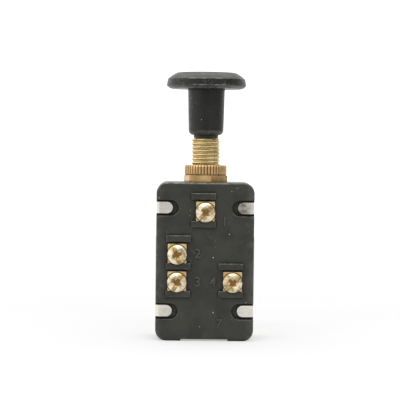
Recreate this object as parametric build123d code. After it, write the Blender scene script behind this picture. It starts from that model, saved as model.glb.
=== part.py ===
from build123d import *
import math
import os

# Push-pull lighting switch: a moulded terminal box, a threaded brass neck and a mushroom pull knob.
# Millimetres. +Z is the way the knob is pulled, and the terminal face looks towards -Y. The origin
# lies on the rod's axis, in the plane of the feet. "Ahead" is the distance from that axis towards
# the terminal face, so ahead = -Y.

# Moulded housing
HOUSING_WIDTH = 32.3
HOUSING_HEIGHT = 52.2
HOUSING_FRONT = 9.6
HOUSING_BACK = 8.4
CORNER_RADIUS = 3.6
FACE_EDGE_RADIUS = 0.8
FRONT_WALL = 3.6
SIDE_WALL = 3.4
END_WALL = 3.6
CAVITY_RADIUS = 1.5
FOOT_HEIGHT = 0.6
FOOT_WIDTH = 8.4

# Folded tabs of the back cover, and the slots that take them
SHEET = 0.9
COVER_INSET = 1.5
TAB_WIDTH = 3.75
TAB_REACH = 5.4
TAB_BEND = 0.9
TAB_PLAY = 0.1
SLOT_WIDTH = 5.3
SLOT_LENGTH = 7.4
SLOT_DEPTH = 2.2
UPPER_SLOT_FROM_TOP = 8.4
LOWER_SLOT_FROM_BOTTOM = 9.8

# Terminals: pockets between ribs, clamp plates, screws and the inserts that they thread into
UPPER_ROW_FROM_TOP = 9.1
MIDDLE_ROW_FROM_TOP = 23.0
COLUMN_FROM_WALL = 3.6
RIB_GAP = 7.0
RIB_THICKNESS = 2.1
RIB_LENGTH = 8.1
RIB_EDGE = 0.3
PLATE_WIDTH = 6.1
PLATE_THICKNESS = 1.1
PLATE_SLACK = 0.7
PLATE_DROP = 0.3
PLATE_CORNER = 0.3
SCREW_DROP = 0.7
HEAD_CLEARANCE = 0.1
HEAD_DIAMETER = 6.3
HEAD_HEIGHT = 1.8
HEAD_RIM = 0.7
RECESS_SPAN = 4.0
RECESS_BLADE = 1.15
RECESS_DEPTH = 2.1
DRIVER_SLOT_WIDTH = 1.1
DRIVER_SLOT_DEPTH = 0.6
SCREW_MAJOR = 3.5
SCREW_PITCH = 0.6
SCREW_LENGTH = 4.5
INSERT_DIAMETER = 5.4
INSERT_PROUD = 0.3
INSERT_END_ROOM = 0.2
CONTACT_DIAMETER = 6.4
CONTACT_LEVEL = 0.8
STRIP_WIDTH = 5.0
FIXED_FIT = 0.02

# In turn for terminals 1 to 4: the angle of the driver slot, and how far to the right the ribs lie
DRIVER_ANGLES = (45.0, 110.0, 63.0, 45.0)
RIB_SHIFTS = (-0.6, 0.4, 0.4, -0.6)

# Threaded bushing and its two nuts
THREAD_MAJOR = 9.525
THREAD_PITCH = 1.27
THREAD_EXPOSED = 9.0
THREAD_CHAMFER = 0.4
WALL_CLEARANCE = 0.1
FLANGE_SIZE = 11.0
FLANGE_THICKNESS = 2.0
FLANGE_RECESS = 0.8
FLANGE_PLAY = 0.1
HEX_ACROSS_FLATS = 13.0
HEX_HEIGHT = 2.3
HEX_CHAMFER = 0.35
HEX_CHAMFER_HEIGHT = 0.2
HEX_TURN = 44.0
RING_DIAMETER = 14.0
RING_HEIGHT = 3.3
RING_CHAMFER = 0.25
RING_CHAMFER_HEIGHT = 0.45
KNURL_TEETH = 42
KNURL_GROOVE = 0.5
KNURL_DEPTH = 0.35

# Pull rod
ROD_DIAMETER = 5.0
ROD_CLEARANCE = 0.05
ROD_THREAD_PITCH = 0.8
ROD_THREAD_LENGTH = 13.0
ROD_END_ROOM = 0.5
NECK_DIAMETER = 3.5
NECK_LENGTH = 2.4
ROD_HEAD_LENGTH = 2.1

# Knob
KNOB_GAP = 0.03
KNOB_HEIGHT = 21.7
KNOB_NECK_DIAMETER = 8.1
KNOB_NECK_HEIGHT = 0.9
SHANK_HEEL_HEIGHT = 1.8
SHANK_FOOT_DIAMETER = 11.65
SHANK_TOP_DIAMETER = 12.3
KNOB_HEAD_DIAMETER = 26.5
KNOB_HEAD_HEIGHT = 5.4
KNOB_LIP_HEIGHT = 1.05
KNOB_LIP_REACH = 1.6
KNOB_LIP_SAG = 0.15
KNOB_RIM_HEIGHT = 2.15
KNOB_RIM_DRAFT = 0.35
KNOB_TOP_DIAMETER = 19.6
KNOB_BEVEL_SAG = 0.15
KNOB_EDGE_RADIUS = 0.25
KNOB_CROWN_RADIUS = 0.8
KNOB_DISH = 0.3

# Sliding contact carriage
DETENT_STEP = 6.5
SLIDE_PLAY = 0.15
SLIDER_FLOOR_GAP = 0.5
SLIDER_COVER_GAP = 0.3
STOP_GAP = 0.3
CONTACT_GAP = 0.1
OPEN_GAP = 0.85
FACE_GAP = 0.6
BRIDGE_THICKNESS = 0.8
BRIDGE_MARGIN = 0.9
BRIDGE_SIDE_MARGIN = 0.9
CARRIAGE_DEPTH = 6.1
STEM_WIDTH = 9.0
STEM_AHEAD = 3.4
STEM_BEHIND = 4.0
KEY_PLAY = 0.1
SPRING_WIRE = 0.5
SPRING_TURNS = 3.0
CONTACT_SPRING_DIAMETER = 4.0
CONTACT_SPRING_LENGTH = 3.6
BORE_PLAY = 0.1
BALL_DIAMETER = 4.5
DETENT_SPRING_DIAMETER = 4.0
DETENT_SPRING_LENGTH = 3.2
DETENT_BOSS_WALL = 2.6
DIMPLE_DEPTH = 0.5

# A thread's pitch cylinder lies this share of the pitch inside its crests, on the diameter
FLANK_SHARE = 0.6495

# Levels along the rod, from the feet up
CAVITY_BOTTOM = END_WALL
CAVITY_TOP = HOUSING_HEIGHT - END_WALL
FLANGE_TOP = CAVITY_TOP + FLANGE_RECESS
FLANGE_BOTTOM = FLANGE_TOP - FLANGE_THICKNESS
HEX_TOP = HOUSING_HEIGHT + HEX_HEIGHT
RING_TOP = HEX_TOP + RING_HEIGHT
BUSHING_TOP = RING_TOP + THREAD_EXPOSED
KNOB_BOTTOM = BUSHING_TOP + KNOB_GAP
KNOB_TOP = KNOB_BOTTOM + KNOB_HEIGHT
TRAVEL = 2 * DETENT_STEP

# Levels ahead of the rod's axis
CAVITY_FLOOR = HOUSING_FRONT - FRONT_WALL
SLOT_FLOOR = HOUSING_FRONT - SLOT_DEPTH
CONTACT_FACE = CAVITY_FLOOR - CONTACT_LEVEL
INSERT_FACE = HOUSING_FRONT + INSERT_PROUD
PLATE_FACE = INSERT_FACE + PLATE_THICKNESS
RIB_FACE = PLATE_FACE - HEAD_CLEARANCE
COVER_FACE = -HOUSING_BACK

# Rows and columns of the terminals; each pocket lies between two ribs
ROW_PITCH = RIB_GAP + RIB_THICKNESS
CAVITY_HALF = HOUSING_WIDTH / 2 - SIDE_WALL
COLUMN = CAVITY_HALF - COLUMN_FROM_WALL
UPPER_ROW = HOUSING_HEIGHT - UPPER_ROW_FROM_TOP
MIDDLE_ROW = HOUSING_HEIGHT - MIDDLE_ROW_FROM_TOP
LOWER_ROW = MIDDLE_ROW - ROW_PITCH
POCKETS = ((0.0, UPPER_ROW), (-COLUMN, MIDDLE_ROW), (-COLUMN, LOWER_ROW), (COLUMN, LOWER_ROW))
SLOT_ROWS = (LOWER_SLOT_FROM_BOTTOM, HOUSING_HEIGHT - UPPER_SLOT_FROM_TOP)

# The carriage, at rest with the knob pushed in
CARRIAGE_HALF = CAVITY_HALF - SLIDE_PLAY
CARRIAGE_BOTTOM = CAVITY_BOTTOM + SLIDER_FLOOR_GAP
BRIDGE_TOP = LOWER_ROW - SCREW_DROP - CONTACT_DIAMETER / 2 - OPEN_GAP
BRIDGE_BOTTOM = CARRIAGE_BOTTOM + BRIDGE_MARGIN
CARRIAGE_TOP = BRIDGE_TOP + BRIDGE_MARGIN
CARRIAGE_MIDDLE = (BRIDGE_TOP + BRIDGE_BOTTOM) / 2
CARRIAGE_FACE = CONTACT_FACE - FACE_GAP
BRIDGE_FACE = CONTACT_FACE - CONTACT_GAP
BRIDGE_BACK = BRIDGE_FACE - BRIDGE_THICKNESS
BRIDGE_SEAT = BRIDGE_BACK - CONTACT_GAP
CARRIAGE_BACK = CARRIAGE_FACE - CARRIAGE_DEPTH
BOSS_BACK = COVER_FACE + SLIDER_COVER_GAP
STEM_TOP = FLANGE_BOTTOM - STOP_GAP - TRAVEL
NECK_BOTTOM = STEM_TOP - NECK_LENGTH + KEY_PLAY
NECK_TOP = NECK_BOTTOM + NECK_LENGTH
ROD_BOTTOM = NECK_BOTTOM - ROD_HEAD_LENGTH
KEY_DEPTH = NECK_LENGTH - 2 * KEY_PLAY
BALL_CENTRE = COVER_FACE + CONTACT_GAP + BALL_DIAMETER / 2
DETENT_SPRING_BACK = BALL_CENTRE + BALL_DIAMETER / 2
DETENT_SEAT = DETENT_SPRING_BACK + DETENT_SPRING_LENGTH
CONTACT_SPRING_SEAT = BRIDGE_SEAT - CONTACT_SPRING_LENGTH


def pitch_radius(major, pitch):
    """Radius where an engaged thread and its nut meet."""
    return (major - FLANK_SHARE * pitch) / 2


THREAD_ROOT = pitch_radius(THREAD_MAJOR, THREAD_PITCH)
SCREW_ROOT = pitch_radius(SCREW_MAJOR, SCREW_PITCH)
ROD_ROOT = pitch_radius(ROD_DIAMETER, ROD_THREAD_PITCH)


def slab(sketch, low, high):
    """Solid from an outline in x and z, between two distances ahead of the rod's axis."""
    return extrude(Plane.XZ.offset(low) * sketch, high - low)


def rectangle(x_low, x_high, z_low, z_high):
    """Rectangle between two edges each way."""
    middle = Pos((x_low + x_high) / 2, (z_low + z_high) / 2)
    return middle * Rectangle(x_high - x_low, z_high - z_low)


def turned(*points):
    """Solid turned about Z from its outline of radius and height."""
    outline = Polyline(*points, close=True)
    return revolve(make_face(Plane.XZ * outline), axis=Axis.Z)


def turned_edge(solid, radius, level):
    """Circular edge of a turned solid nearest to a radius and a level."""
    circles = [edge for edge in solid.edges().filter_by(GeomType.CIRCLE) if edge.is_closed]
    return min(circles, key=lambda edge: abs(edge.radius - radius) + abs(edge.arc_center.Z - level))


def disc(radius, low, high):
    """Cylinder about Z between two levels."""
    return Pos(0, 0, low) * extrude(Circle(radius), high - low)


def facing(x, z):
    """Frame on a line through the terminal face: its own z is the distance ahead of the rod."""
    return Location(Plane((x, 0, z), x_dir=(1, 0, 0), z_dir=(0, -1, 0)))


def coil(diameter, length):
    """Compression spring about Z, from level 0 up to its length."""
    rise = length - SPRING_WIRE
    path = Helix(rise / SPRING_TURNS, rise, (diameter - SPRING_WIRE) / 2)
    section = Plane(origin=path @ 0, z_dir=path % 0) * Circle(SPRING_WIRE / 2)
    return Pos(0, 0, SPRING_WIRE / 2) * sweep(section, path=path, is_frenet=True)


def tab_sweep(width, thickness):
    """Strip folded from the back plate along the right side and over the slot's floor."""
    back = HOUSING_BACK + SHEET / 2
    side = HOUSING_WIDTH / 2 - SHEET / 2
    front = SLOT_FLOOR + SHEET / 2
    root = HOUSING_WIDTH / 2 - COVER_INSET - TAB_REACH
    tip = HOUSING_WIDTH / 2 - TAB_REACH
    corners = ((root, back, 0), (side, back, 0), (side, -front, 0), (tip, -front, 0))
    path = FilletPolyline(*corners, radius=TAB_BEND)
    section = Plane(origin=path @ 0, x_dir=(0, 0, 1), z_dir=path % 0) * Rectangle(width, thickness)
    return sweep(section, path=path)


def tab():
    """One cover tab at level 0 on the right side, with a full round end."""
    radius = TAB_WIDTH / 2
    tip = HOUSING_WIDTH / 2 - TAB_REACH
    end = rectangle(tip - radius, tip + radius, -TAB_WIDTH, TAB_WIDTH)
    end -= Pos(tip + radius, 0) * Circle(radius)
    return tab_sweep(TAB_WIDTH, SHEET) - slab(end, SLOT_FLOOR - SHEET, SLOT_FLOOR + 2 * SHEET)


def slot():
    """Room for one tab at level 0 on the right side: the side groove and the slot in the face."""
    radius = SLOT_WIDTH / 2
    inner = HOUSING_WIDTH / 2 - SLOT_LENGTH
    outline = rectangle(inner + radius, HOUSING_WIDTH / 2 + SHEET, -radius, radius)
    outline += Pos(inner + radius, 0) * Circle(radius)
    mouth = slab(outline, SLOT_FLOOR, HOUSING_FRONT + SHEET)
    return mouth + tab_sweep(TAB_WIDTH + 2 * TAB_PLAY, SHEET + 2 * TAB_PLAY)


def both_sides(solid):
    """A solid and its mirror image across the rod's plane."""
    return solid + mirror(solid, about=Plane.YZ)


def rib():
    """Moulded rib that keeps a clamp plate from turning, about its own middle."""
    block = slab(Rectangle(RIB_LENGTH, RIB_THICKNESS), CAVITY_FLOOR + FRONT_WALL / 2, RIB_FACE)
    return fillet(block.faces().sort_by(Axis.Y)[0].edges(), RIB_EDGE)


def housing():
    """Moulded box, open at the back, with ribs, tab slots and seats for bushing and inserts."""
    middle = Pos(0, HOUSING_HEIGHT / 2)
    outline = middle * RectangleRounded(HOUSING_WIDTH, HOUSING_HEIGHT, CORNER_RADIUS)
    box = slab(outline, -HOUSING_BACK, HOUSING_FRONT)
    box = fillet(box.faces().sort_by(Axis.Y)[0].edges(), FACE_EDGE_RADIUS)
    relief_half = HOUSING_WIDTH / 2 - FOOT_WIDTH
    relief = rectangle(-relief_half, relief_half, -FOOT_HEIGHT, FOOT_HEIGHT)
    box -= slab(relief, -2 * HOUSING_BACK, 2 * HOUSING_FRONT)
    hollow = middle * RectangleRounded(2 * CAVITY_HALF, CAVITY_TOP - CAVITY_BOTTOM, CAVITY_RADIUS)
    box -= slab(hollow, -2 * HOUSING_BACK, CAVITY_FLOOR)
    for level in SLOT_ROWS:
        box -= both_sides(Pos(0, 0, level) * slot())
    for (x, z), shift in zip(POCKETS, RIB_SHIFTS):
        for side in (-1, 1):
            box += Pos(x + shift, 0, z + side * ROW_PITCH / 2) * rib()
        hole = disc(INSERT_DIAMETER / 2 + FIXED_FIT, 0, 2 * HOUSING_FRONT)
        box -= facing(x, z - SCREW_DROP) * hole
    seat = Rectangle(FLANGE_SIZE + 2 * FLANGE_PLAY, FLANGE_SIZE + 2 * FLANGE_PLAY)
    box -= Pos(0, 0, FLANGE_BOTTOM) * extrude(seat, FLANGE_THICKNESS)
    box -= disc(THREAD_MAJOR / 2 + WALL_CLEARANCE, CAVITY_TOP, HOUSING_HEIGHT + FLANGE_THICKNESS)
    return box


def dimple(level):
    """Pressed detent seat in the cover: the bump outside and the hollow inside."""
    hollow_radius = BALL_DIAMETER / 2 + BORE_PLAY
    centre = Pos(0, -COVER_FACE - hollow_radius + DIMPLE_DEPTH, level)
    outside = slab(Pos(0, level) * Circle(2 * BALL_DIAMETER), COVER_FACE - 2 * BALL_DIAMETER, COVER_FACE)
    bump = outside & (centre * Sphere(hollow_radius + SHEET))
    return bump, centre * Sphere(hollow_radius)


def back_cover():
    """Steel back plate with four tabs folded over the terminal face, and three detent dimples."""
    width = HOUSING_WIDTH - 2 * COVER_INSET
    height = HOUSING_HEIGHT - 2 * COVER_INSET
    outline = RectangleRounded(width, height, CORNER_RADIUS - COVER_INSET / 2)
    cover = slab(Pos(0, HOUSING_HEIGHT / 2) * outline, COVER_FACE - SHEET, COVER_FACE)
    for level in SLOT_ROWS:
        cover += both_sides(Pos(0, 0, level) * tab())
    for step in range(3):
        bump, hollow = dimple(CARRIAGE_MIDDLE + step * DETENT_STEP)
        cover = cover + bump - hollow
    return cover


def bushing():
    """Brass neck: square flange inside the housing, plain where the nuts engage, bored for the rod."""
    crest = THREAD_MAJOR / 2
    neck = turned(
        (0, FLANGE_BOTTOM),
        (crest, FLANGE_BOTTOM),
        (crest, HOUSING_HEIGHT),
        (THREAD_ROOT, HOUSING_HEIGHT),
        (THREAD_ROOT, RING_TOP),
        (crest, RING_TOP),
        (crest, BUSHING_TOP - THREAD_CHAMFER),
        (crest - THREAD_CHAMFER, BUSHING_TOP),
        (0, BUSHING_TOP),
    )
    flange = Pos(0, 0, FLANGE_BOTTOM) * extrude(Rectangle(FLANGE_SIZE, FLANGE_SIZE), FLANGE_THICKNESS)
    bore = disc(ROD_DIAMETER / 2 + ROD_CLEARANCE, FLANGE_BOTTOM, BUSHING_TOP)
    return neck + flange - bore


def nut_limits(radius, low, high, chamfer, chamfer_height):
    """Turned envelope that breaks a nut's outer edges."""
    return turned(
        (0, low),
        (radius - chamfer, low),
        (radius, low + chamfer_height),
        (radius, high - chamfer_height),
        (radius - chamfer, high),
        (0, high),
    )


def hex_nut():
    """Hexagon nut that holds the bushing in the housing's top."""
    outline = RegularPolygon(HEX_ACROSS_FLATS / 2, 6, major_radius=False, rotation=HEX_TURN)
    nut = Pos(0, 0, HOUSING_HEIGHT) * extrude(outline, HEX_HEIGHT)
    corner = HEX_ACROSS_FLATS / math.sqrt(3)
    nut &= nut_limits(corner, HOUSING_HEIGHT, HEX_TOP, HEX_CHAMFER, HEX_CHAMFER_HEIGHT)
    return nut - disc(THREAD_ROOT + FIXED_FIT, HOUSING_HEIGHT, HEX_TOP)


def ring_nut():
    """Round nut with a straight knurl, which clamps the panel."""
    crest = RING_DIAMETER / 2
    half_groove = KNURL_GROOVE / RING_DIAMETER
    groove = ((crest, -half_groove), (crest - KNURL_DEPTH, 0.0), (crest, half_groove))
    points = []
    for tooth in range(KNURL_TEETH):
        middle = math.tau * tooth / KNURL_TEETH
        for radius, turn in groove:
            points.append((radius * math.cos(middle + turn), radius * math.sin(middle + turn)))
    outline = make_face(Polyline(*points, close=True))
    nut = Pos(0, 0, HEX_TOP) * extrude(outline, RING_HEIGHT)
    nut &= nut_limits(crest, HEX_TOP, RING_TOP, RING_CHAMFER, RING_CHAMFER_HEIGHT)
    return nut - disc(THREAD_ROOT + FIXED_FIT, HEX_TOP, RING_TOP)


def knob():
    """Mushroom knob: necked, tapered shank under a bevelled head, with a blind hole for the rod."""
    neck = KNOB_NECK_DIAMETER / 2
    foot = SHANK_FOOT_DIAMETER / 2
    rim = KNOB_HEAD_DIAMETER / 2
    crown = KNOB_TOP_DIAMETER / 2
    foot_level = KNOB_BOTTOM + KNOB_NECK_HEIGHT
    heel_level = foot_level + SHANK_HEEL_HEIGHT
    head_level = KNOB_TOP - KNOB_HEAD_HEIGHT
    lip_level = head_level + KNOB_LIP_HEIGHT
    bevel_level = lip_level + KNOB_RIM_HEIGHT
    lower = Polyline((0, KNOB_BOTTOM), (neck, KNOB_BOTTOM), (neck, foot_level))
    heel = TangentArc((foot, heel_level), lower @ 1, tangent=(0, -1))
    shank = Polyline(
        (foot, heel_level),
        (SHANK_TOP_DIAMETER / 2, head_level),
        (rim - KNOB_LIP_REACH, head_level),
    )
    lip = SagittaArc(shank @ 1, (rim, lip_level), -KNOB_LIP_SAG)
    side = Line(lip @ 1, (rim - KNOB_RIM_DRAFT, bevel_level))
    bevel = SagittaArc(side @ 1, (crown, KNOB_TOP), -KNOB_BEVEL_SAG)
    crown_dish = SagittaArc(bevel @ 1, (-crown, KNOB_TOP), KNOB_DISH)
    dish_half = crown_dish.trim(0, 0.5)
    axis = Line(dish_half @ 1, (0, KNOB_BOTTOM))
    outline = lower + heel + shank + lip + side + bevel + dish_half + axis
    body = revolve(make_face(Plane.XZ * outline), axis=Axis.Z)
    body = fillet(turned_edge(body, crown, KNOB_TOP), KNOB_CROWN_RADIUS)
    body = fillet(turned_edge(body, rim - KNOB_RIM_DRAFT, bevel_level), KNOB_EDGE_RADIUS)
    body = fillet(turned_edge(body, rim, lip_level), KNOB_EDGE_RADIUS)
    bore_top = KNOB_BOTTOM + ROD_THREAD_LENGTH + ROD_END_ROOM
    return body - disc(ROD_ROOT + FIXED_FIT, KNOB_BOTTOM, bore_top)


def pull_rod():
    """Steel rod: keyed head and neck in the slider, plain through the bushing, threaded in the knob."""
    radius = ROD_DIAMETER / 2
    neck = NECK_DIAMETER / 2
    rod_top = KNOB_BOTTOM + ROD_THREAD_LENGTH
    return turned(
        (0, ROD_BOTTOM),
        (radius, ROD_BOTTOM),
        (radius, NECK_BOTTOM),
        (neck, NECK_BOTTOM),
        (neck, NECK_TOP),
        (radius, NECK_TOP),
        (radius, KNOB_BOTTOM),
        (ROD_ROOT, KNOB_BOTTOM),
        (ROD_ROOT, rod_top),
        (0, rod_top),
    )


def keyway(width, low, high):
    """Slot across the stem, open at its back, with a round end about the rod."""
    outline = Circle(width / 2) + Pos(0, STEM_BEHIND) * Rectangle(width, 2 * STEM_BEHIND)
    return Pos(0, 0, low) * extrude(outline, high - low)


def slider():
    """Moulded carriage: contact seat in front, detent boss behind, stem keyed to the rod."""
    half = CARRIAGE_HALF
    outline = RectangleRounded(2 * half, CARRIAGE_TOP - CARRIAGE_BOTTOM, CAVITY_RADIUS)
    outline = Pos(0, (CARRIAGE_TOP + CARRIAGE_BOTTOM) / 2) * outline
    block = slab(outline, CARRIAGE_BACK, CARRIAGE_FACE)
    boss_half = BALL_DIAMETER / 2 + BORE_PLAY + DETENT_BOSS_WALL
    boss = rectangle(-boss_half, boss_half, CARRIAGE_BOTTOM, CARRIAGE_TOP)
    block += slab(boss, BOSS_BACK, CARRIAGE_FACE)
    stem = rectangle(-STEM_WIDTH / 2, STEM_WIDTH / 2, CARRIAGE_BOTTOM, STEM_TOP)
    block += slab(stem, -STEM_BEHIND, STEM_AHEAD)
    edge = half - BRIDGE_SIDE_MARGIN + SLIDE_PLAY
    seat = rectangle(-edge, edge, BRIDGE_BOTTOM - SLIDE_PLAY, BRIDGE_TOP + SLIDE_PLAY)
    block -= slab(seat, BRIDGE_SEAT, CARRIAGE_FACE + BRIDGE_THICKNESS)
    spring_bore = disc(CONTACT_SPRING_DIAMETER / 2 + BORE_PLAY, CONTACT_SPRING_SEAT, BRIDGE_SEAT)
    for side in (-1, 1):
        block -= facing(side * COLUMN, CARRIAGE_MIDDLE) * spring_bore
    ball_bore = disc(BALL_DIAMETER / 2 + BORE_PLAY, BOSS_BACK, DETENT_SEAT)
    block -= facing(0, CARRIAGE_MIDDLE) * ball_bore
    block -= keyway(NECK_DIAMETER + 2 * KEY_PLAY, STEM_TOP - KEY_DEPTH, STEM_TOP)
    key_floor = ROD_BOTTOM - KEY_PLAY
    block -= keyway(ROD_DIAMETER + 2 * KEY_PLAY, key_floor, STEM_TOP - KEY_DEPTH)
    return block


def bridge_contact():
    """Brass plate that joins the supply strip to the side contacts as the carriage rises."""
    half = CARRIAGE_HALF - BRIDGE_SIDE_MARGIN
    return slab(rectangle(-half, half, BRIDGE_BOTTOM, BRIDGE_TOP), BRIDGE_BACK, BRIDGE_FACE)


def contact_spring(side):
    """Spring behind one wing of the bridge contact."""
    spring = Pos(0, 0, CONTACT_SPRING_SEAT) * coil(CONTACT_SPRING_DIAMETER, CONTACT_SPRING_LENGTH)
    return facing(side * COLUMN, CARRIAGE_MIDDLE) * spring


def detent_spring():
    """Spring that presses the detent ball towards the cover."""
    spring = Pos(0, 0, DETENT_SPRING_BACK) * coil(DETENT_SPRING_DIAMETER, DETENT_SPRING_LENGTH)
    return facing(0, CARRIAGE_MIDDLE) * spring


def detent_ball():
    """Steel ball at the back of the carriage."""
    return facing(0, CARRIAGE_MIDDLE) * Pos(0, 0, BALL_CENTRE) * Sphere(BALL_DIAMETER / 2)


def battery_strip():
    """Brass supply strip down the middle of the cavity floor, held by the upper insert."""
    axis = UPPER_ROW - SCREW_DROP
    half = STRIP_WIDTH / 2
    outline = rectangle(-half, half, CARRIAGE_BOTTOM, axis)
    outline += Pos(0, axis) * Circle(CONTACT_DIAMETER / 2)
    outline -= Pos(0, axis) * Circle(INSERT_DIAMETER / 2 + FIXED_FIT)
    return slab(outline, CONTACT_FACE, CAVITY_FLOOR)


def terminal_insert(number):
    """Brass insert through the front wall: tapped from outside, headed inside as a contact."""
    x, z = POCKETS[number - 1]
    seat = CONTACT_FACE if number == 1 else CAVITY_FLOOR
    shank = INSERT_DIAMETER / 2
    insert = turned(
        (0, seat - CONTACT_LEVEL),
        (CONTACT_DIAMETER / 2, seat - CONTACT_LEVEL),
        (CONTACT_DIAMETER / 2, seat),
        (shank, seat),
        (shank, INSERT_FACE),
        (0, INSERT_FACE),
    )
    hole_bottom = PLATE_FACE - SCREW_LENGTH - INSERT_END_ROOM
    insert -= disc(SCREW_ROOT + FIXED_FIT, hole_bottom, INSERT_FACE)
    return facing(x, z - SCREW_DROP) * insert


def clamp_plate(number):
    """Square brass clamp plate under a terminal screw, resting low between its ribs."""
    x, z = POCKETS[number - 1]
    outline = RectangleRounded(PLATE_WIDTH, RIB_GAP - PLATE_SLACK, PLATE_CORNER)
    outline = Pos(0, SCREW_DROP - PLATE_DROP) * outline - Circle(SCREW_MAJOR / 2 + WALL_CLEARANCE)
    plate = Pos(0, 0, INSERT_FACE) * extrude(outline, PLATE_THICKNESS)
    return facing(x, z - SCREW_DROP) * plate


def driver_recess():
    """Cross recess that narrows with depth, and a straight slot along one of its arms."""
    top = PLATE_FACE + HEAD_HEIGHT
    floor = top - RECESS_DEPTH
    side = RECESS_SPAN / 2
    clear = top + HEAD_HEIGHT
    cone = turned((0, floor), (side, top), (side, clear), (0, clear))
    cross = Rectangle(RECESS_SPAN, RECESS_BLADE) + Rectangle(RECESS_BLADE, RECESS_SPAN)
    cross_cut = Pos(0, 0, floor) * extrude(cross, clear - floor)
    straight = extrude(Rectangle(2 * HEAD_DIAMETER, DRIVER_SLOT_WIDTH), 2 * HEAD_HEIGHT)
    return (cone & cross_cut) + Pos(0, 0, top - DRIVER_SLOT_DEPTH) * straight


def terminal_screw(number):
    """Pan-head terminal screw with a combined cross and slot drive."""
    x, z = POCKETS[number - 1]
    radius = HEAD_DIAMETER / 2
    top = PLATE_FACE + HEAD_HEIGHT
    rim = Polyline(
        (0, PLATE_FACE - SCREW_LENGTH),
        (SCREW_ROOT, PLATE_FACE - SCREW_LENGTH),
        (SCREW_ROOT, PLATE_FACE),
        (radius, PLATE_FACE),
        (radius, PLATE_FACE + HEAD_RIM),
    )
    dome = TangentArc((0, top), rim @ 1, tangent=(1, 0))
    axis = Line(dome @ 0, rim @ 0)
    screw = revolve(make_face(Plane.XZ * (rim + dome + axis)), axis=Axis.Z)
    screw -= driver_recess()
    return facing(x, z - SCREW_DROP) * Rot(0, 0, DRIVER_ANGLES[number - 1]) * screw


def pieces():
    """Every piece by its name."""
    made = {
        "housing": housing(),
        "back_cover": back_cover(),
        "bushing": bushing(),
        "hex_nut": hex_nut(),
        "ring_nut": ring_nut(),
        "battery_strip": battery_strip(),
        "knob": knob(),
        "pull_rod": pull_rod(),
        "slider": slider(),
        "bridge_contact": bridge_contact(),
        "contact_spring_left": contact_spring(-1),
        "contact_spring_right": contact_spring(1),
        "detent_spring": detent_spring(),
        "detent_ball": detent_ball(),
    }
    for number in range(1, len(POCKETS) + 1):
        made[f"terminal_insert_{number}"] = terminal_insert(number)
        made[f"clamp_plate_{number}"] = clamp_plate(number)
        made[f"terminal_screw_{number}"] = terminal_screw(number)
    return made


os.makedirs("parts", exist_ok=True)
for name, solid in pieces().items():
    export_step(solid, f"parts/{name}.step")
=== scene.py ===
import math

import bmesh
import bpy
from mathutils import Matrix, Vector


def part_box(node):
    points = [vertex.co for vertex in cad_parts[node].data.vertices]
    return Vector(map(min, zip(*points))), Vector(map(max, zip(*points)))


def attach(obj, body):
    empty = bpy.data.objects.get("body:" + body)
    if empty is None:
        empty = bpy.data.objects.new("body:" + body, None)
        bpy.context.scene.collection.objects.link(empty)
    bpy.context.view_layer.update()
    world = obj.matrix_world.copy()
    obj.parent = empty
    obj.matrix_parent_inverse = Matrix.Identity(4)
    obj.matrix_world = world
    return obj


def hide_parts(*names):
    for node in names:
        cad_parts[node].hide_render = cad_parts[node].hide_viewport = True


# Dressed model of a push-pull lighting switch. Metres, in the part's own frame: +Z is the way the
# knob is pulled, and the terminal face looks towards -Y.

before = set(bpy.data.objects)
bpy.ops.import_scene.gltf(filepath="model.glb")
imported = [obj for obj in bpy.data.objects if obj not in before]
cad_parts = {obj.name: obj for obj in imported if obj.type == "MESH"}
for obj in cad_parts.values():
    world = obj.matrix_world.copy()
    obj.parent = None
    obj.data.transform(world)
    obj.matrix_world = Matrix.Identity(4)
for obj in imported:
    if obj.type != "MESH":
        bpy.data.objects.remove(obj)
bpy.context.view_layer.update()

MM = 0.001
TERMINALS = range(1, 5)

# Camera, for a square picture
IMAGE_SIDE = 400
FOCAL_PIXELS = 1647.2
SENSOR_WIDTH = 36.0
CAMERA_DISTANCE = 0.550
CAMERA_AZIMUTH = -0.52
CAMERA_ELEVATION = 2.0
CAMERA_ROLL = 0.643
CAMERA_TARGET = Vector((-0.001745, 0.0, 0.046124))
CLIP_START = 0.01

# Brass neck: its thread, the plain shank under the nuts, and the square flange
CREST_RADIUS = 4.7625 * MM
PLAIN_RADIUS = 4.35 * MM
BORE_RADIUS = 2.55 * MM
THREAD_PITCH = 1.27 * MM
THREAD_DEPTH = 0.45 * MM
THREAD_CHAMFER = 0.4 * MM
CREST_SHARE = 0.12
ROOT_SHARE = 0.38
ROWS_PER_TURN = 20
COLUMNS = 128
SHARP_ANGLE = 50.0
FLANGE_HALF = 5.5 * MM
FLANGE_THICKNESS = 2.0 * MM

# Raised numerals, for the terminals and the mould: text, and its place from the axis and the feet in mm
NUMERALS = (("1", 6.3, 39.3), ("2", -2.4, 28.7), ("3", -2.4, 19.4), ("4", 2.7, 19.4), ("7", 4.8, 5.6))
NUMERAL_SIZE = 4.4 * MM
NUMERAL_RELIEF = 0.30 * MM
NUMERAL_BEVEL = 0.25 * NUMERAL_RELIEF
FACE_LEVEL = -9.6 * MM

# From here on, a noise is its size and detail, a band is where a pattern starts and where it is full,
# and a share is how much of the pattern shows where it is full.

# Patterns that the finishes share
EDGE_SAMPLES = 6
EDGE_BAND = (0.998, 0.90)
EDGE_UPWARD = (0.0, 0.3)
SKY_SAMPLES = 8
OPEN_SKY = 0.97
FULL_CREASE = 0.45
SPECK_CORE = 0.4
NEAR_CORE = 0.3
SCRATCH_DETAIL = 2.0
SCRATCH_STRETCH = (0.12, 1.0, 1.0)
ROUGH_BAND = (0.3, 0.7)

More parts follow.
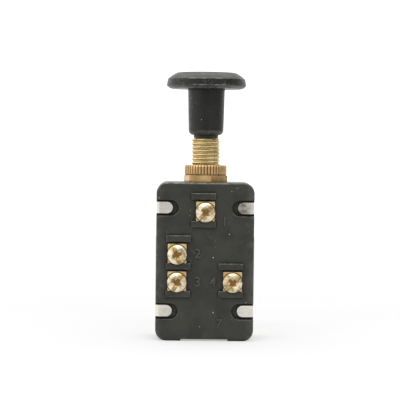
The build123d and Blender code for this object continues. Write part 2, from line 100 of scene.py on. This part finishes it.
# Mouldings. A kind of scuff is its size, turn in degrees and band, a kind of speck its spacing, radius
# and share, and a hollow, where shade is painted, its reach and how little of the sky is open where it is
# full.
SATIN_TINT = (1.0, 0.99, 0.93, 1)
MOTTLE = (6 * MM, 4.0)
MOTTLE_BAND = (0.36, 0.64)
GRAIN = (0.30 * MM, 2.0)
GRAIN_BAND = (0.50, 0.80)
GRAIN_SHARE = 0.15
GRAIN_RELIEF = 0.008 * MM
SCUFFS = ((0.9 * MM, 35.0, (0.66, 0.76)), (0.7 * MM, -50.0, (0.68, 0.78)))
SCUFF_PATCHES = (5 * MM, 3.0)
SCUFF_BAND = (0.48, 0.62)
SCUFF_SHARE = 0.40
SCUFF_RELIEF = 0.015 * MM
EDGE_WEAR_AND_LIGHT = 0.45 * MM
LOWER_EDGE_SHARE = 0.35
BREAKS = (1.8 * MM, 5.0)
BREAK_BAND = (0.38, 0.62)
BREAK_SHARES = (0.25, 1.0)
LINT = ((2.6 * MM, 0.24 * MM, 0.12), (1.7 * MM, 0.16 * MM, 0.08))
HOLLOW = (1.2 * MM, FULL_CREASE)
HOLLOW_SHARE = 0.85
HOLLOW_SHADE = 0.3
HOLLOW_DULLING = 0.3
SHEEN = (2.2 * MM, 4.0)

# Moulded box: the paler margins at the sides of its face, and its rounded edges, paler with wear and a
# painted highlight
MARGIN_BAND = (13.0 * MM, 16.15 * MM)
MARGIN_SHARE = 0.25
FACE_BAND = (-0.7, -0.9)
ROUND_START = (0.99, 0.90)
ROUND_END = (0.05, 0.30)
ROUND_UPWARD = (0.0, 0.4)

# Knob: the circles of its bevel and lip edges as radius and level, the painted highlights along them and
# the painted light from below on its lip and heel, and where it is nicked
BEVEL_EDGE = (12.9 * MM, 86.33 * MM)
BEVEL_HIGHLIGHT = 0.36 * MM
LIP_EDGE = (13.25 * MM, 84.18 * MM)
LIP_HIGHLIGHT = 0.28 * MM
LIP_BAND = (84.28 * MM, 83.88 * MM)
LIP_SHARE = 0.45
HEAD_BAND = (82.97 * MM, 83.12 * MM)
HEEL_BAND = (69.6 * MM, 68.9 * MM)
HEEL_SHARE = 0.28
MIDDLE_BAND = (4.0 * MM, 8.0 * MM)
MIDDLE_SHARES = (1.0, 0.2)
RIM_BAND = (12.3 * MM, 12.6 * MM)
NICKS = ((0.8 * MM, 0.30 * MM, 0.7), (0.55 * MM, 0.22 * MM, 0.5))
NICK_PATCHES = (4 * MM, 3.0)
NICK_BAND = (0.40, 0.60)
NICK_SHARES = (0.15, 0.7)

# Metals
CLOUD_DETAIL = 4.0
TINT_BAND = (0.35, 0.68)
MARKS = (0.5 * MM, 3.0)
MARK_BAND = (0.55, 0.75)
MARK_SHARE = 0.45
MARK_RELIEF = 0.012 * MM
DENTS = (1.3 * MM, 2.0)
POLISH_WIDTH = 0.2 * MM
POLISH_SHARE = 0.6
STAINS = (1.5 * MM, 5.0)
STAIN_SPAN = 0.16
STAIN_SHARE = 0.7
DIRT_DULLING = 0.2

# Tabs of the cover that are darker near their ends: a point near the end and a share, and how far it
# reaches
DARKER_TAB_ENDS = (
    ((12.0 * MM, -8.3 * MM, 43.8 * MM), 1.0),
    ((-12.0 * MM, -8.3 * MM, 9.8 * MM), 0.3),
)
DARKER_TAB_REACH = 4.5 * MM
STREAKS = (1.6 * MM, 4.0)
STREAK_BAND = (0.35, 0.65)
STREAK_SHARES = (0.5, 1.0)

# Driver slots of the terminal screws: their angles in turn, half their width, and the painted shade along
# them
DRIVER_ANGLES = (45.0, -70.0, 63.0, 45.0)
DRIVER_SLOT_HALF = 0.55 * MM
SLOT_SHADE_BAND = (1.2 * DRIVER_SLOT_HALF, 0.8 * DRIVER_SLOT_HALF)
SLOT_SHADE_SHARE = 0.5
SHADOW_LINE_BAND = (0.6 * DRIVER_SLOT_HALF, 0.3 * DRIVER_SLOT_HALF)
SLOT_SHADE_REACH = 7.0 * MM

# Studio
WHITE = (1.0, 1.0, 1.0, 1.0)
AMBIENT = 0.60
FRONT_AIM = (0.71, -0.71, 0.0)
FRONT_BAND = (-0.50, 1.00)
BACK_STRENGTH = 1.30
FRONT_STRENGTH = 0.40
SKY_BAND = (0.55, 0.95)
SKY_STRENGTH = 1.30
FLOOR_RADIUS = 0.6
FLOOR_SIDES = 96
FLOOR_GAP = 0.02 * MM
FLOOR_COLOUR = (0.88, 0.88, 0.88, 1.0)
FLOOR_FADE = (0.04, 0.22)
FLOOR_WHITENESS = (0.45, 1.0)

# Lamps: name, place, width, height, power, and whether polished metal mirrors it
LAMPS = (
    ("key", (-0.10, -0.66, 0.74), 1.2, 0.07, 4.0, False),
    ("fill", (0.60, -0.70, 0.35), 1.0, 1.0, 1.0, True),
    ("top", (0.00, 0.05, 0.95), 1.2, 1.2, 4.0, True),
)
LAMP_AIM = Vector((0, 0, 0.04))


class Nodes:
    """Short calls for the nodes of one shader tree."""

    def __init__(self, tree):
        self.tree = tree

    def add(self, kind, **settings):
        """New node with some of its settings."""
        node = self.tree.nodes.new(kind)
        for key, value in settings.items():
            setattr(node, key, value)
        return node

    def put(self, socket, value):
        """Sets a socket to a plain value, or links it to another socket."""
        if isinstance(value, bpy.types.NodeSocket):
            self.tree.links.new(value, socket)
        elif value is not None:
            socket.default_value = value

    def fill(self, node, *values):
        """Sets or links the first inputs of a node in turn."""
        for socket, value in zip(node.inputs, values):
            self.put(socket, value)
        return node

    def math(self, operation, first, second=None):
        """Result of one sum on one or two values."""
        return self.fill(self.add("ShaderNodeMath", operation=operation), first, second).outputs[0]

    def times(self, first, second):
        """Product of two values."""
        return self.math("MULTIPLY", first, second)

    def most(self, first, *others):
        """Greatest of several values."""
        for value in others:
            first = self.math("MAXIMUM", first, value)
        return first

    def length(self, first, second):
        """Length of a line with these two parts at a right angle."""
        return self.math("SQRT", self.math("ADD", self.times(first, first), self.times(second, second)))

    def vectors(self, operation, first, second):
        """Number that comes of two vectors."""
        node = self.add("ShaderNodeVectorMath", operation=operation)
        return self.fill(node, first, second).outputs["Value"]

    def part(self, vector, letter):
        """One part of a vector."""
        return self.fill(self.add("ShaderNodeSeparateXYZ"), vector).outputs[letter]

    def spread(self, value, band, to=(0.0, 1.0)):
        """A value taken from one range to another, smooth and clamped."""
        node = self.add("ShaderNodeMapRange", interpolation_type="SMOOTHSTEP")
        return self.fill(node, value, *band, *to).outputs[0]

    def blend(self, factor, first, second):
        """Shader between two shaders."""
        return self.fill(self.add("ShaderNodeMixShader"), factor, first, second).outputs[0]

    def seen_directly(self):
        """1 for rays that show a surface itself: from the camera, a mirror or glass."""
        path = self.add("ShaderNodeLightPath").outputs
        return self.most(path["Is Camera Ray"], path["Is Glossy Ray"], path["Is Transmission Ray"])


class Finish(Nodes):
    """A material, with short calls for the patterns that it is made of."""

    def __init__(self, name, **fixed):
        self.material = bpy.data.materials.new(name)
        self.material.use_nodes = True
        super().__init__(self.material.node_tree)
        self.shader = self.tree.nodes["Principled BSDF"]
        self.place = self.add("ShaderNodeTexCoord").outputs["Object"]
        self.drive(**fixed)

    def drive(self, **values):
        """Sets or links the shader's own sockets."""
        sockets = {socket.name.lower().replace(" ", "_"): socket for socket in self.shader.inputs}
        for key, value in values.items():
            self.put(sockets[key], value)

    def mix(self, factor, first, second):
        """Colour between two colours. The node's sockets for colours come after those for numbers."""
        node = self.add("ShaderNodeMix", data_type="RGBA")
        self.put(node.inputs[0], factor)
        self.put(node.inputs[6], first)
        self.put(node.inputs[7], second)
        return node.outputs[2]

    def noise(self, size, detail, stretch=(1.0, 1.0, 1.0), turn=0.0):
        """Soft noise with features of about that size, turned about Y by degrees and then stretched.

        Along each axis the features are as long as their size over that part of the stretch.
        """
        mapping = self.add("ShaderNodeMapping", vector_type="TEXTURE")
        self.put(mapping.inputs["Vector"], self.place)
        self.put(mapping.inputs["Rotation"], (0.0, math.radians(turn), 0.0))
        self.put(mapping.inputs["Scale"], [1 / part for part in stretch])
        node = self.add("ShaderNodeTexNoise")
        self.put(node.inputs["Vector"], mapping.outputs[0])
        self.put(node.inputs["Scale"], 1 / size)
        self.put(node.inputs["Detail"], detail)
        return node.outputs[0]

    def specks(self, spacing, radius, share):
        """Small scattered dots: one in each cell, of which a share is kept."""
        cells = self.add("ShaderNodeTexVoronoi")
        self.put(cells.inputs["Vector"], self.place)
        self.put(cells.inputs["Scale"], 1 / spacing)
        dot = self.spread(cells.outputs["Distance"], (radius / spacing, SPECK_CORE * radius / spacing))
        draw = self.fill(self.add("ShaderNodeSeparateColor"), cells.outputs["Color"]).outputs[0]
        return self.times(dot, self.math("LESS_THAN", draw, share))

    def scratches(self, size, turn, band):
        """Thin broken lines across the surface."""
        return self.spread(self.noise(size, SCRATCH_DETAIL, SCRATCH_STRETCH, turn), band)

    def normal(self):
        """Direction in which the surface looks."""
        return self.add("ShaderNodeNewGeometry").outputs["Normal"]

    def facing(self, letter):
        """How far the surface looks along one axis."""
        return self.part(self.normal(), letter)

    def axis(self, letter):
        """One object coordinate."""
        return self.part(self.place, letter)

    def radius(self):
        """Distance from the pull rod's axis."""
        return self.length(self.axis("X"), self.axis("Y"))

    def edges(self, radius, lower=1.0):
        """Bright along the piece's own edges, with a share of it along those that don't look up; a share
        below one paints a highlight on the upper edges.
        """
        bevel = self.add("ShaderNodeBevel", samples=EDGE_SAMPLES)
        self.put(bevel.inputs["Radius"], radius)
        softened = bevel.outputs[0]
        turned = self.spread(self.vectors("DOT_PRODUCT", softened, self.normal()), EDGE_BAND)
        return self.times(turned, self.spread(self.part(softened, "Z"), EDGE_UPWARD, (lower, 1.0)))

    def creases(self, reach, full):
        """Bright in grooves, hollows and corners between pieces, where little of the sky is open."""
        sky = self.add("ShaderNodeAmbientOcclusion", samples=SKY_SAMPLES)
        self.put(sky.inputs["Distance"], reach)
        return self.spread(sky.outputs["AO"], (OPEN_SKY, full))

    def near(self, distance, reach):
        """Bright where a distance is short."""
        return self.spread(distance, (reach, NEAR_CORE * reach))

    def near_ring(self, ring, reach):
        """Bright near a circle about the rod's axis, given by its radius and level."""
        radius, level = ring
        across = self.math("SUBTRACT", self.radius(), radius)
        along = self.math("SUBTRACT", self.axis("Z"), level)
        return self.near(self.length(across, along), reach)

    def near_point(self, point, reach):
        """Bright near a point of the object."""
        return self.near(self.vectors("DISTANCE", self.place, point), reach)

    def above_line(self, point, angle):
        """Distance above a line through a point, at an angle in the plane of the terminal face."""
        turn = math.radians(angle)
        upward = Vector((-math.sin(turn), 0.0, math.cos(turn)))
        return self.math("SUBTRACT", self.vectors("DOT_PRODUCT", self.place, upward), upward.dot(point))

    def bump(self, height, depth, over=None):
        """Surface relief from a height pattern, on top of another relief."""
        node = self.add("ShaderNodeBump")
        self.put(node.inputs["Distance"], depth)
        self.put(node.inputs["Height"], height)
        self.put(node.inputs["Normal"], over)
        return node.outputs[0]


def shade(colour, factor):
    """A colour made darker or lighter by a factor."""
    return (*(factor * part for part in colour[:3]), 1)


def moulding(name, dark, light, worn_and_lit, dust, roughness, gloss, wear_and_light=None):
    """Satin moulded plastic: mottled, finely grained, scuffed, with specks of dust, edges paler from wear
    and from a painted highlight strongest on upper edges, and painted shade in its hollows.
    """
    finish = Finish(name, specular_ior_level=gloss, specular_tint=SATIN_TINT)
    grain = finish.noise(*GRAIN)
    colour = finish.mix(finish.spread(finish.noise(*MOTTLE), MOTTLE_BAND), dark, light)
    colour = finish.mix(finish.spread(grain, GRAIN_BAND, (0.0, GRAIN_SHARE)), colour, worn_and_lit)
    scuffs = finish.most(*(finish.scratches(*kind) for kind in SCUFFS))
    scuffs = finish.times(scuffs, finish.spread(finish.noise(*SCUFF_PATCHES), SCUFF_BAND))
    colour = finish.mix(finish.times(scuffs, SCUFF_SHARE), colour, worn_and_lit)
    # Paler edges from wear and from a painted highlight, which is fainter on edges that don't look up.
    rubbed_and_lit = finish.edges(EDGE_WEAR_AND_LIGHT, LOWER_EDGE_SHARE)
    if wear_and_light:
        rubbed_and_lit = finish.most(rubbed_and_lit, wear_and_light(finish))
    breaks = finish.spread(finish.noise(*BREAKS), BREAK_BAND, BREAK_SHARES)
    colour = finish.mix(finish.times(rubbed_and_lit, breaks), colour, worn_and_lit)
    lint = finish.most(*(finish.specks(*kind) for kind in LINT))
    colour = finish.mix(lint, colour, dust)
    # Painted shade: darker where little of the sky is open, in hollows, grooves and between pieces.
    hollow = finish.creases(*HOLLOW)
    colour = finish.mix(finish.times(hollow, HOLLOW_SHARE), colour, shade(dark, HOLLOW_SHADE))
    rough = finish.spread(finish.noise(*SHEEN), ROUGH_BAND, roughness)
    rough = finish.math("ADD", rough, finish.times(hollow, HOLLOW_DULLING))
    relief = finish.bump(grain, GRAIN_RELIEF)
    relief = finish.bump(scuffs, SCUFF_RELIEF, relief)
    finish.drive(base_color=colour, roughness=rough, normal=relief)
    return finish


def box_wear_and_light(finish):
    """Wear and a painted highlight where the box's front and back round off, most on upper edges, and paler
    margins on its face.
    """
    ahead = finish.math("ABSOLUTE", finish.facing("Y"))
    # Painted highlight, with some wear, on the rounded edges, strongest on those that look up.
    rounded = finish.times(finish.spread(ahead, ROUND_START), finish.spread(ahead, ROUND_END))
    upward = finish.spread(finish.facing("Z"), ROUND_UPWARD, (LOWER_EDGE_SHARE, 1.0))
    aside = finish.math("ABSOLUTE", finish.axis("X"))
    margin = finish.spread(aside, MARGIN_BAND, (0.0, MARGIN_SHARE))
    margin = finish.times(margin, finish.spread(finish.facing("Y"), FACE_BAND))
    return finish.most(finish.times(rounded, upward), margin)


def knob_wear_and_light(finish):
    """Painted highlights along the knob's bevel and lip edges, strongest across its middle, nicked rim, and
    painted light from below on the lip and heel.
    """
    level = finish.axis("Z")
    aside = finish.math("ABSOLUTE", finish.axis("X"))
    # Painted highlights on the bevel and lip edges, strongest across the middle of the knob.
    edges = finish.most(finish.near_ring(BEVEL_EDGE, BEVEL_HIGHLIGHT), finish.near_ring(LIP_EDGE, LIP_HIGHLIGHT))
    edges = finish.times(edges, finish.spread(aside, MIDDLE_BAND, MIDDLE_SHARES))
    nicks = finish.most(*(finish.specks(*kind) for kind in NICKS))
    nicks = finish.times(nicks, finish.spread(finish.noise(*NICK_PATCHES), NICK_BAND, NICK_SHARES))
    nicks = finish.times(nicks, finish.spread(finish.radius(), RIM_BAND))
    # Painted light reflected from below on the lip and the heel.
    lip = finish.spread(level, LIP_BAND, (0.0, LIP_SHARE))
    lip = finish.times(lip, finish.spread(level, HEAD_BAND))
    heel = finish.spread(level, HEEL_BAND, (0.0, HEEL_SHARE))
    return finish.most(edges, nicks, lip, heel)


def darker_tab_ends(finish):
    """Some tabs of the cover are darker near their ends."""
    spots = [finish.times(finish.near_point(point, DARKER_TAB_REACH), share) for point, share in DARKER_TAB_ENDS]
    streaks = finish.spread(finish.noise(*STREAKS), STREAK_BAND, STREAK_SHARES)
    return finish.times(finish.most(*spots), streaks)


def painted_slot_shade(finish):
    """Painted shade along the driver slots of the screw heads, darkest in a painted shadow line at their
    lower sides.
    """
    streaks = []
    for number, angle in zip(TERMINALS, DRIVER_ANGLES):
        low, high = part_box(f"terminal_screw_{number}")
        crown = Vector(((low.x + high.x) / 2, low.y, (low.z + high.z) / 2))
        height = finish.above_line(crown, angle)
        # Painted shade of the slot, and a painted shadow line along its lower wall.
        slot_shade = finish.spread(finish.math("ABSOLUTE", height), SLOT_SHADE_BAND, (0.0, SLOT_SHADE_SHARE))
        lower = finish.math("ADD", height, DRIVER_SLOT_HALF)
        shadow_line = finish.spread(finish.math("ABSOLUTE", lower), SHADOW_LINE_BAND)
        streaks.append(finish.times(finish.most(slot_shade, shadow_line), finish.near_point(crown, SLOT_SHADE_REACH)))
    return finish.most(*streaks)


def metal(
    name, bright, deep, grime_and_shade, roughness, lay,
    stain=0.56, dents=0.02 * MM, cloud=2.6 * MM, soil_and_shade=(0.8 * MM, FULL_CREASE), spots=1.0, darkening=None,
):
    """Worked metal: two tints, fine tool marks along the lay, dents, stains, polished edges, and painted
    shade, part grime, in creases.

    Stains start where their noise passes a level, in the grime's colour times a factor for spots.
    Soil says how far the painted shade and grime reach out of a crease, and how little of the sky is open
    where it is full.
    The last argument is a pattern that darkens the colour, and the colour it darkens to.
    """
    finish = Finish(name, metallic=1.0)
    marks = finish.noise(*MARKS, lay)
    colour = finish.mix(finish.spread(finish.noise(cloud, CLOUD_DETAIL), TINT_BAND), bright, deep)
    colour = finish.mix(finish.spread(marks, MARK_BAND, (0.0, MARK_SHARE)), colour, deep)
    colour = finish.mix(finish.times(finish.edges(POLISH_WIDTH), POLISH_SHARE), colour, bright)
    if darkening:
        pattern, darker_colour = darkening
        colour = finish.mix(pattern(finish), colour, darker_colour)
    # Stains, and painted shade, part grime, where little of the sky is open: in creases, recesses and where
    # pieces meet.
    stains = finish.spread(finish.noise(*STAINS), (stain, stain + STAIN_SPAN), (0.0, STAIN_SHARE))
    hollow = finish.creases(*soil_and_shade)
    dirt_and_shade = finish.most(stains, hollow)
    colour = finish.mix(dirt_and_shade, colour, finish.mix(hollow, shade(grime_and_shade, spots), grime_and_shade))
    rough = finish.spread(marks, ROUGH_BAND, roughness)
    rough = finish.math("ADD", rough, finish.times(dirt_and_shade, DIRT_DULLING))
    relief = finish.bump(marks, MARK_RELIEF)
    relief = finish.bump(finish.noise(*DENTS), dents, relief)
    finish.drive(base_color=colour, roughness=rough, normal=relief)
    return finish


def dress(finish, *names):
    """Gives CAD nodes a finish."""
    for name in names:
        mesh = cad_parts[name].data
        mesh.materials.clear()
        mesh.materials.append(finish.material)


def add_object(name, data):
    """New object in the scene."""
    thing = bpy.data.objects.new(name, data)
    bpy.context.scene.collection.objects.link(thing)
    return thing


def thread_radius(angle, level, top):
    """Distance from the axis of the threaded surface: one right-hand helix, with its end chamfered."""
    phase = (top - level) / THREAD_PITCH + angle / math.tau
    offset = abs(phase - round(phase))
    share = min(max((offset - CREST_SHARE) / (ROOT_SHARE - CREST_SHARE), 0.0), 1.0)
    depth = THREAD_DEPTH * share * share * (3 - 2 * share)
    end = max(0.0, level - (top - THREAD_CHAMFER))
    return CREST_RADIUS - max(depth, end)


def lathe(name, rings):
    """Closed mesh about the axis from rings of (radius, level) at equal steps of angle."""
    mesh = bpy.data.meshes.new(name)
    shape = bmesh.new()
    loops = []
    for ring in rings:
        loop = []
        for column, (radius, level) in enumerate(ring):
            angle = math.tau * column / COLUMNS
            loop.append(shape.verts.new((radius * math.cos(angle), radius * math.sin(angle), level)))
        loops.append(loop)
    for lower, upper in zip(loops, loops[1:] + loops[:1]):
        for column in range(COLUMNS):
            after = (column + 1) % COLUMNS
            shape.faces.new((lower[column], lower[after], upper[after], upper[column]))
    bmesh.ops.recalc_face_normals(shape, faces=shape.faces)
    shape.to_mesh(mesh)
    shape.free()
    mesh.shade_smooth()
    mesh.set_sharp_from_angle(angle=math.radians(SHARP_ANGLE))
    return add_object(name, mesh)


def threaded_neck(finish):
    """Brass neck with its thread cut: square flange, plain shank under the nuts, bare thread above."""
    bottom, top = (corner.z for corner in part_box("bushing"))
    housing_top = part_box("housing")[1].z
    thread_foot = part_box("ring_nut")[1].z
    angles = [math.tau * column / COLUMNS for column in range(COLUMNS)]

    def circle(radius, level):
        return [(radius, level)] * COLUMNS

    def square(half, level):
        return [(half / max(abs(math.cos(a)), abs(math.sin(a))), level) for a in angles]

    rings = [
        circle(BORE_RADIUS, bottom),
        square(FLANGE_HALF, bottom),
        square(FLANGE_HALF, bottom + FLANGE_THICKNESS),
        circle(CREST_RADIUS, bottom + FLANGE_THICKNESS),
        circle(CREST_RADIUS, housing_top),
        circle(PLAIN_RADIUS, housing_top),
        circle(PLAIN_RADIUS, thread_foot),
    ]
    rows = math.ceil((top - thread_foot) / THREAD_PITCH * ROWS_PER_TURN)
    for row in range(rows + 1):
        level = thread_foot + (top - thread_foot) * row / rows
        rings.append([(thread_radius(angle, level, top), level) for angle in angles])
    rings.append(circle(BORE_RADIUS, top))
    neck = lathe("threaded_neck", rings)
    neck.data.materials.append(finish.material)
    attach(neck, "switch_body")
    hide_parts("bushing")


def numeral(text, x, z, finish):
    """One raised numeral on the terminal face."""
    curve = bpy.data.curves.new("numeral_outline", "FONT")
    curve.body = text
    curve.size = NUMERAL_SIZE
    curve.extrude = NUMERAL_RELIEF
    curve.bevel_depth = NUMERAL_BEVEL
    curve.align_x = "CENTER"
    curve.align_y = "CENTER"
    outline = add_object("numeral_outline", curve)
    bpy.context.view_layer.update()
    mesh = bpy.data.meshes.new_from_object(outline)
    mesh.transform(Matrix.Translation((x, FACE_LEVEL, z)) @ Matrix.Rotation(math.pi / 2, 4, "X"))
    mesh.materials.clear()
    mesh.materials.append(finish.material)
    bpy.data.objects.remove(outline)
    bpy.data.curves.remove(curve)
    piece = add_object(f"numeral_{text}", mesh)
    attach(piece, "switch_body")


def studio_world():
    """White surroundings: an even light, but seen and mirrored brighter overhead and dimmer in front."""
    world = bpy.data.worlds.new("studio")
    bpy.context.scene.world = world
    world.use_nodes = True
    nodes = Nodes(world.node_tree)
    ambient = nodes.fill(nodes.tree.nodes["Background"], WHITE, AMBIENT)
    path = nodes.add("ShaderNodeLightPath").outputs
    direction = nodes.add("ShaderNodeTexCoord").outputs["Generated"]
    front = nodes.vectors("DOT_PRODUCT", direction, FRONT_AIM)
    room = nodes.spread(front, FRONT_BAND, (BACK_STRENGTH, FRONT_STRENGTH))
    sky = nodes.spread(nodes.part(direction, "Z"), SKY_BAND, (0.0, SKY_STRENGTH))
    strength = nodes.most(nodes.math("ADD", room, sky), path["Is Camera Ray"])
    shown = nodes.fill(nodes.add("ShaderNodeBackground"), WHITE, strength)
    mixed = nodes.blend(nodes.seen_directly(), ambient.outputs[0], shown.outputs[0])
    nodes.put(nodes.tree.nodes["World Output"].inputs["Surface"], mixed)


def floor():
    """Pale round floor that keeps the shadow near the object and fades to white away from it."""
    bpy.ops.mesh.primitive_circle_add(vertices=FLOOR_SIDES, radius=FLOOR_RADIUS, fill_type="NGON")
    plane = bpy.context.object
    plane.name = "floor"
    plane.location.z = -FLOOR_GAP
    finish = Finish("floor")
    pale = finish.fill(finish.add("ShaderNodeBsdfDiffuse"), FLOOR_COLOUR).outputs[0]
    white = finish.add("ShaderNodeEmission").outputs[0]
    shown = finish.blend(finish.spread(finish.radius(), FLOOR_FADE, FLOOR_WHITENESS), pale, white)
    mixed = finish.blend(finish.seen_directly(), pale, shown)
    finish.put(finish.tree.nodes["Material Output"].inputs["Surface"], mixed)
    finish.tree.nodes.remove(finish.shader)
    plane.data.materials.append(finish.material)


def softbox(name, place, width, height, power, mirrored):
    """Soft lamp at a place, turned to the object, which polished metal mirrors or not."""
    data = bpy.data.lights.new(name, "AREA")
    data.shape = "RECTANGLE"
    data.size = width
    data.size_y = height
    data.energy = power
    lamp = add_object(name, data)
    lamp.location = place
    lamp.rotation_euler = (LAMP_AIM - Vector(place)).to_track_quat("-Z", "Y").to_euler()
    lamp.visible_glossy = mirrored


def camera():
    """Camera at the photograph's angle."""
    data = bpy.data.cameras.new("camera")
    data.sensor_width = SENSOR_WIDTH
    data.lens = FOCAL_PIXELS * SENSOR_WIDTH / IMAGE_SIDE
    data.clip_start = CLIP_START
    turn, rise = math.radians(CAMERA_AZIMUTH), math.radians(CAMERA_ELEVATION)
    back = Vector((math.sin(turn) * math.cos(rise), -math.cos(turn) * math.cos(rise), math.sin(rise)))
    look = (-back).to_track_quat("-Z", "Y").to_matrix()
    lens = add_object("camera", data)
    lens.location = CAMERA_TARGET + back * CAMERA_DISTANCE
    lens.rotation_euler = (look @ Matrix.Rotation(math.radians(CAMERA_ROLL), 3, "Z")).to_euler()
    bpy.context.scene.camera = lens


BLACK = moulding(
    "black_moulding",
    dark=(0.018, 0.0185, 0.015, 1), light=(0.030, 0.0295, 0.0245, 1), worn_and_lit=(0.16, 0.16, 0.145, 1),
    dust=(0.60, 0.58, 0.54, 1), roughness=(0.30, 0.44), gloss=0.4, wear_and_light=box_wear_and_light,
)
MARKING = moulding(
    "worn_marking",
    dark=(0.030, 0.030, 0.026, 1), light=(0.045, 0.045, 0.040, 1), worn_and_lit=(0.15, 0.15, 0.135, 1),
    dust=(0.30, 0.29, 0.27, 1), roughness=(0.36, 0.50), gloss=0.4,
)
KNOB = moulding(
    "knob_moulding",
    dark=(0.004, 0.004, 0.004, 1), light=(0.007, 0.007, 0.007, 1), worn_and_lit=(0.15, 0.15, 0.15, 1),
    dust=(0.45, 0.45, 0.45, 1), roughness=(0.30, 0.42), gloss=0.36, wear_and_light=knob_wear_and_light,
)
STEEL = metal(
    "sheet_steel",
    bright=(0.88, 0.85, 0.77, 1), deep=(0.70, 0.67, 0.60, 1), grime_and_shade=(0.46, 0.42, 0.34, 1),
    roughness=(0.24, 0.42), lay=(0.03, 1.0, 1.0), stain=0.64, cloud=12 * MM,
    darkening=(darker_tab_ends, (0.23, 0.21, 0.17, 1)),
)
# Painted shade, part grime, in the roots of the thread.
THREAD = metal(
    "thread_brass",
    bright=(0.85, 0.70, 0.385, 1), deep=(0.68, 0.52, 0.25, 1), grime_and_shade=(0.28, 0.19, 0.065, 1),
    roughness=(0.20, 0.34), lay=(0.3, 0.3, 1.0), soil_and_shade=(0.8 * MM, 0.52),
)
RING = metal(
    "nut_brass",
    bright=(0.69, 0.48, 0.245, 1), deep=(0.54, 0.35, 0.16, 1), grime_and_shade=(0.44, 0.285, 0.125, 1),
    roughness=(0.38, 0.52), lay=(0.4, 0.4, 1.0),
)
HEXAGON = metal(
    "hexagon_brass",
    bright=(0.62, 0.42, 0.20, 1), deep=(0.46, 0.29, 0.12, 1), grime_and_shade=(0.34, 0.21, 0.084, 1),
    roughness=(0.22, 0.34), lay=(1.0, 1.0, 0.3), stain=0.52,
)
# Painted shade, part grime, round the screw heads on the plates.
PLATE = metal(
    "terminal_brass",
    bright=(0.82, 0.72, 0.41, 1), deep=(0.68, 0.55, 0.27, 1), grime_and_shade=(0.18, 0.09, 0.03, 1),
    roughness=(0.24, 0.40), lay=(0.2, 1.0, 1.0), stain=0.47, soil_and_shade=(0.75 * MM, 0.70), spots=3.6,
)
# Painted shade, part grime, in the cross recesses and round the heads.
SCREW = metal(
    "screw_plating",
    bright=(0.86, 0.77, 0.58, 1), deep=(0.58, 0.44, 0.25, 1), grime_and_shade=(0.58, 0.42, 0.21, 1),
    roughness=(0.05, 0.12), lay=(0.6, 1.0, 1.0), stain=0.48, dents=0.07 * MM, soil_and_shade=(1.5 * MM, 0.70),
    # A painted slot shade runs along each driver slot, with a painted shadow line at its lower side.
    spots=0.34, darkening=(painted_slot_shade, (0.36, 0.22, 0.05, 1)),
)
ROD = metal(
    "rod_steel",
    bright=(0.60, 0.60, 0.61, 1), deep=(0.42, 0.42, 0.43, 1), grime_and_shade=(0.28, 0.26, 0.24, 1),
    roughness=(0.12, 0.26), lay=(1.0, 1.0, 0.06), stain=0.64, cloud=6 * MM,
)
SPRING = metal(
    "spring_steel",
    bright=(0.62, 0.62, 0.64, 1), deep=(0.50, 0.50, 0.52, 1), grime_and_shade=(0.33, 0.31, 0.30, 1),
    roughness=(0.24, 0.38), lay=(0.5, 0.5, 0.5),
)
NYLON = moulding(
    "slider_moulding",
    dark=(0.66, 0.60, 0.49, 1), light=(0.76, 0.71, 0.60, 1), worn_and_lit=(0.84, 0.80, 0.72, 1),
    dust=(0.35, 0.32, 0.27, 1), roughness=(0.42, 0.58), gloss=0.5,
)

dress(BLACK, "housing")
dress(KNOB, "knob")
dress(STEEL, "back_cover")
dress(HEXAGON, "hex_nut")
dress(RING, "ring_nut")
dress(PLATE, "battery_strip", "bridge_contact")
dress(PLATE, *(f"clamp_plate_{number}" for number in TERMINALS))
dress(PLATE, *(f"terminal_insert_{number}" for number in TERMINALS))
dress(SCREW, *(f"terminal_screw_{number}" for number in TERMINALS))
dress(ROD, "pull_rod", "detent_ball")
dress(SPRING, "contact_spring_left", "contact_spring_right", "detent_spring")
dress(NYLON, "slider")

threaded_neck(THREAD)
for text, x, z in NUMERALS:
    numeral(text, x * MM, z * MM, MARKING)

studio_world()
floor()
for lamp in LAMPS:
    softbox(*lamp)
camera()
bpy.context.scene.view_settings.view_transform = "Standard"
